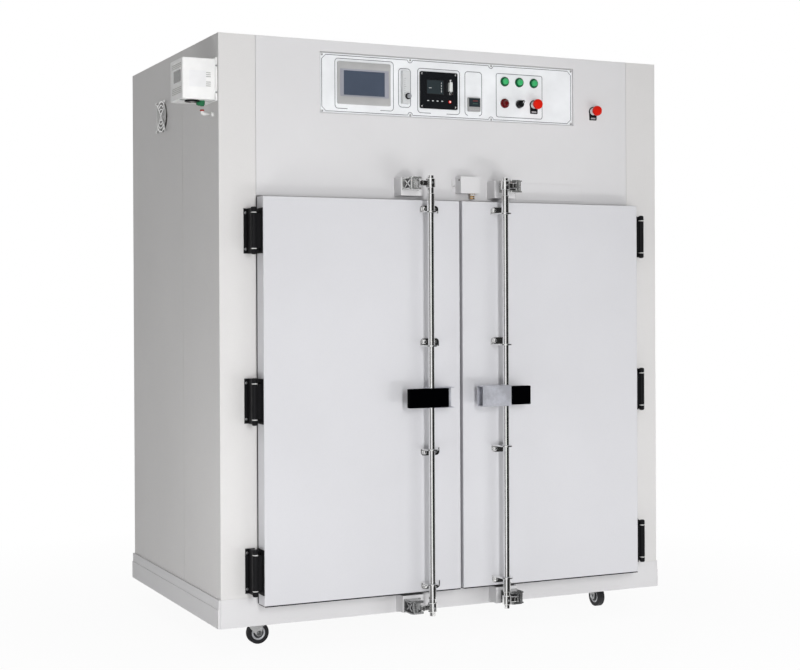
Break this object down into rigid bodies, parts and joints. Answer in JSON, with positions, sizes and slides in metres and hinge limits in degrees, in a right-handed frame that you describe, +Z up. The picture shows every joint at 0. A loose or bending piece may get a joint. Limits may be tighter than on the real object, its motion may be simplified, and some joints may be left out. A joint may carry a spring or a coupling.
{
  "type": "cleanroom oven",
  "caption": "Tall two-door industrial cleanroom oven on swivel casters, with lock rods, a control panel above the doors and a side instrument box.",
  "frame": {"origin": "centre of the whole object's footprint, on the floor", "axes": "+Z up, -Y towards the doors and control panel, +X to the right seen from the front"},
  "size_m": [1.8766, 1.2394, 2.08],
  "materials": {
    "powder_coat_light": "satin orange-peel powder coat",
    "powder_coat_side": "satin orange-peel powder coat",
    "door_coat": "satin powder coat",
    "plate_white": "matt printed sheet",
    "stainless": "brushed",
    "chrome": "bright plated",
    "zinc": "zinc plated",
    "black_plastic": "satin moulded",
    "black_gloss": "gloss",
    "grey_bezel": "matt",
    "clear_plastic": "clear moulded",
    "lamp_green": "domed lens",
    "stop_red": "gloss",
    "red_silicone": "matt silicone",
    "box_white": "matt",
    "tyre_black": "matt rubber"
  },
  "bodies": {
    "cabinet": {"base_frame": "powder_coat_light", "left_side_panels": "powder_coat_side", "right_side_panels": "powder_coat_side", "back_panel": "powder_coat_side", "front_fascia": "powder_coat_light", "top_housing": "powder_coat_light", "door_frame": "stainless", "chamber_liner": "stainless", "control_plate": "plate_white", "hmi": "grey_bezel", "flowmeter": "clear_plastic", "gas_analyser": "black_gloss", "temp_controller": "black_gloss", "pilot_lamps": "lamp_green", "estop_bases": "black_plastic", "limit_switch_box": "powder_coat_light", "keeper_blocks": "powder_coat_light", "keepers": "chrome", "instrument_box": "box_white", "fan_guard": "chrome", "hinge_fixed_leaves": "black_plastic", "caster_plates": "zinc"},
    "selector": {"selector_knob": "black_plastic"},
    "stop_button_left": {"estop_head_left": "stop_red"},
    "stop_button_right": {"estop_head_right": "stop_red"},
    "left_door_leaf": {"left_door": "door_coat", "left_gasket": "red_silicone", "left_hinge_leaves": "black_plastic", "left_rod_guides": "chrome"},
    "right_door_leaf": {"right_door": "door_coat", "right_gasket": "red_silicone", "right_hinge_leaves": "black_plastic", "right_rod_guides": "chrome"},
    "left_lock": {"left_lock_rod": "chrome", "left_grip": "black_plastic"},
    "right_lock": {"right_lock_rod": "chrome", "right_grip": "black_plastic"},
    "fork_front_left": {"caster_fork_front_left": "zinc"},
    "wheel_front_left": {"caster_wheel_front_left": "tyre_black"},
    "fork_front_right": {"caster_fork_front_right": "zinc"},
    "wheel_front_right": {"caster_wheel_front_right": "tyre_black"},
    "fork_rear_left": {"caster_fork_rear_left": "zinc"},
    "wheel_rear_left": {"caster_wheel_rear_left": "tyre_black"},
    "fork_rear_right": {"caster_fork_rear_right": "zinc"},
    "wheel_rear_right": {"caster_wheel_rear_right": "tyre_black"}
  },
  "joints": [
    {"name": "left_door_hinge", "type": "hinge", "parent": "cabinet", "child": "left_door_leaf", "pos_m": [-0.71725, -0.52525, 0.8425], "axis": [0, 0, -1], "range_deg": [0, 95]},
    {"name": "right_door_hinge", "type": "hinge", "parent": "cabinet", "child": "right_door_leaf", "pos_m": [0.82675, -0.52525, 0.8425], "axis": [0, 0, 1], "range_deg": [0, 95]},
    {"name": "left_lock_turn", "type": "hinge", "parent": "left_door_leaf", "child": "left_lock", "pos_m": [-0.09275, -0.59725, 0.84], "axis": [0, 0, -1], "range_deg": [0, 30]},
    {"name": "right_lock_turn", "type": "hinge", "parent": "right_door_leaf", "child": "right_lock", "pos_m": [0.20225, -0.59725, 0.84], "axis": [0, 0, 1], "range_deg": [0, 30]},
    {"name": "selector_turn", "type": "hinge", "parent": "cabinet", "child": "selector", "pos_m": [0.33674, -0.46925, 1.8985], "axis": [0, -1, 0], "range_deg": [-80, 10]},
    {"name": "stop_press_left", "type": "slide", "parent": "cabinet", "child": "stop_button_left", "axis": [0, 1, 0], "range_m": [0, 0.004], "stiffness_N_per_m": 1500},
    {"name": "stop_press_right", "type": "slide", "parent": "cabinet", "child": "stop_button_right", "axis": [0, 1, 0], "range_m": [0, 0.004], "stiffness_N_per_m": 1500},
    {"name": "swivel_front_left", "type": "hinge", "parent": "cabinet", "child": "fork_front_left", "pos_m": [-0.62725, -0.37925, 0.08], "axis": [0, 0, 1], "continuous": true},
    {"name": "roll_front_left", "type": "hinge", "parent": "fork_front_left", "child": "wheel_front_left", "pos_m": [-0.65925, -0.37925, 0.038], "axis": [0, -1, 0], "continuous": true},
    {"name": "swivel_front_right", "type": "hinge", "parent": "cabinet", "child": "fork_front_right", "pos_m": [0.73675, -0.37925, 0.08], "axis": [0, 0, 1], "continuous": true},
    {"name": "roll_front_right", "type": "hinge", "parent": "fork_front_right", "child": "wheel_front_right", "pos_m": [0.73675, -0.34725, 0.038], "axis": [-1, 0, 0], "continuous": true},
    {"name": "swivel_rear_left", "type": "hinge", "parent": "cabinet", "child": "fork_rear_left", "pos_m": [-0.62725, 0.52075, 0.08], "axis": [0, 0, 1], "continuous": true},
    {"name": "roll_rear_left", "type": "hinge", "parent": "fork_rear_left", "child": "wheel_rear_left", "pos_m": [-0.59525, 0.52075, 0.038], "axis": [0, 1, 0], "continuous": true},
    {"name": "swivel_rear_right", "type": "hinge", "parent": "cabinet", "child": "fork_rear_right", "pos_m": [0.73675, 0.52075, 0.08], "axis": [0, 0, 1], "continuous": true},
    {"name": "roll_rear_right", "type": "hinge", "parent": "fork_rear_right", "child": "wheel_rear_right", "pos_m": [0.73675, 0.55275, 0.038], "axis": [-1, 0, 0], "continuous": true}
  ]
}
